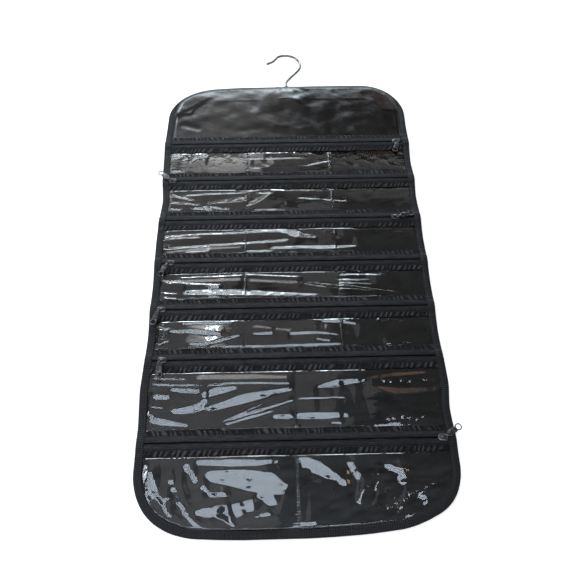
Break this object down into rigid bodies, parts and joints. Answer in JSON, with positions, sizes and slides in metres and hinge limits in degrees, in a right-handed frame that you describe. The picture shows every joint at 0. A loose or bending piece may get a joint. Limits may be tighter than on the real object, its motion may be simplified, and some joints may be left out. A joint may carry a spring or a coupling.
{
  "type": "hanging jewelry organizer",
  "caption": "Flat nylon hanging organizer with rows of clear zipped vinyl pockets, a bound edge, and a hidden hanger with a swivelling steel wire hook.",
  "frame": {"origin": "centre of the panel's back face, half way along its height and width", "axes": "+X to the right, +Y up to the hook, +Z out of the front; the part lies on its back"},
  "size_m": [0.3556, 0.7165, 0.0091],
  "materials": {
    "nylon_cloth": "black woven nylon with a soft sheen",
    "binding_tape": "black ribbed woven tape",
    "zip_tape": "black woven zip tape",
    "zip_coil": "black nylon coil",
    "clear_vinyl": "clear glossy vinyl sheet",
    "black_metal": "gloss black enamel",
    "steel_wire": "bright plated wire",
    "hanger_plastic": "moulded black plastic"
  },
  "bodies": {
    "panel": {"back_panel": "nylon_cloth", "edge_binding": "binding_tape", "yoke_panel": "nylon_cloth", "hanger": "hanger_plastic", "pocket_window_1": "clear_vinyl", "zip_1_upper_tape": "zip_tape", "zip_1_lower_tape": "zip_tape", "zip_1_upper_coil": "zip_coil", "zip_1_lower_coil": "zip_coil", "pocket_window_2": "clear_vinyl", "zip_2_upper_tape": "zip_tape", "zip_2_lower_tape": "zip_tape", "zip_2_upper_coil": "zip_coil", "zip_2_lower_coil": "zip_coil", "pocket_window_3": "clear_vinyl", "zip_3_upper_tape": "zip_tape", "zip_3_lower_tape": "zip_tape", "zip_3_upper_coil": "zip_coil", "zip_3_lower_coil": "zip_coil", "pocket_window_4": "clear_vinyl", "zip_4_upper_tape": "zip_tape", "zip_4_lower_tape": "zip_tape", "zip_4_upper_coil": "zip_coil", "zip_4_lower_coil": "zip_coil", "pocket_window_5": "clear_vinyl", "zip_5_upper_tape": "zip_tape", "zip_5_lower_tape": "zip_tape", "zip_5_upper_coil": "zip_coil", "zip_5_lower_coil": "zip_coil", "pocket_window_6": "clear_vinyl", "zip_6_upper_tape": "zip_tape", "zip_6_lower_tape": "zip_tape", "zip_6_upper_coil": "zip_coil", "zip_6_lower_coil": "zip_coil", "pocket_window_7": "clear_vinyl", "zip_7_upper_tape": "zip_tape", "zip_7_lower_tape": "zip_tape", "zip_7_upper_coil": "zip_coil", "zip_7_lower_coil": "zip_coil"},
    "hook": {"hook": "steel_wire"},
    "slider_1": {"zip_1_slider": "black_metal"},
    "pull_1": {"zip_1_pull": "black_metal"},
    "slider_2": {"zip_2_slider": "black_metal"},
    "pull_2": {"zip_2_pull": "black_metal"},
    "slider_3": {"zip_3_slider": "black_metal"},
    "pull_3": {"zip_3_pull": "black_metal"},
    "slider_4": {"zip_4_slider": "black_metal"},
    "pull_4": {"zip_4_pull": "black_metal"},
    "slider_5": {"zip_5_slider": "black_metal"},
    "pull_5": {"zip_5_pull": "black_metal"},
    "slider_6": {"zip_6_slider": "black_metal"},
    "pull_6": {"zip_6_pull": "black_metal"},
    "slider_7": {"zip_7_slider": "black_metal"},
    "pull_7": {"zip_7_pull": "black_metal"}
  },
  "joints": [
    {"name": "hook_swivel", "type": "hinge", "parent": "panel", "child": "hook", "pos_m": [0, 0.32425, 0.005], "axis": [0, 1, 0], "continuous": true},
    {"name": "zip_1_slide", "type": "slide", "parent": "panel", "child": "slider_1", "axis": [1, 0, 0], "range_m": [-0.3097, 0.004]},
    {"name": "zip_1_pull_swing", "type": "hinge", "parent": "slider_1", "child": "pull_1", "pos_m": [0.15545, 0.20675, 0.0074], "axis": [0, 0, 1], "range_deg": [-7, 223]},
    {"name": "zip_2_slide", "type": "slide", "parent": "panel", "child": "slider_2", "axis": [1, 0, 0], "range_m": [0, 0.3137]},
    {"name": "zip_2_pull_swing", "type": "hinge", "parent": "slider_2", "child": "pull_2", "pos_m": [-0.15945, 0.13975, 0.0074], "axis": [0, 0, 1], "range_deg": [-73, 157]},
    {"name": "zip_3_slide", "type": "slide", "parent": "panel", "child": "slider_3", "axis": [1, 0, 0], "range_m": [-0.2947, 0.019]},
    {"name": "zip_3_pull_swing", "type": "hinge", "parent": "slider_3", "child": "pull_3", "pos_m": [0.14045, 0.07275, 0.0074], "axis": [0, 0, 1], "range_deg": [-128, 102]},
    {"name": "zip_4_slide", "type": "slide", "parent": "panel", "child": "slider_4", "axis": [1, 0, 0], "range_m": [-0.0055, 0.3082]},
    {"name": "zip_4_pull_swing", "type": "hinge", "parent": "slider_4", "child": "pull_4", "pos_m": [-0.15395, 0.00575, 0.0074], "axis": [0, 0, 1], "range_deg": [-182, 48]},
    {"name": "zip_5_slide", "type": "slide", "parent": "panel", "child": "slider_5", "axis": [1, 0, 0], "range_m": [0, 0.3137]},
    {"name": "zip_5_pull_swing", "type": "hinge", "parent": "slider_5", "child": "pull_5", "pos_m": [-0.15945, -0.06125, 0.0074], "axis": [0, 0, 1], "range_deg": [-188, 42]},
    {"name": "zip_6_slide", "type": "slide", "parent": "panel", "child": "slider_6", "axis": [1, 0, 0], "range_m": [-0.006, 0.3077]},
    {"name": "zip_6_pull_swing", "type": "hinge", "parent": "slider_6", "child": "pull_6", "pos_m": [-0.15345, -0.12825, 0.0074], "axis": [0, 0, 1], "range_deg": [-207, 23]},
    {"name": "zip_7_slide", "type": "slide", "parent": "panel", "child": "slider_7", "axis": [1, 0, 0], "range_m": [-0.3137, 0]},
    {"name": "zip_7_pull_swing", "type": "hinge", "parent": "slider_7", "child": "pull_7", "pos_m": [0.15945, -0.22575, 0.0074], "axis": [0, 0, 1], "range_deg": [-150, 80]}
  ]
}
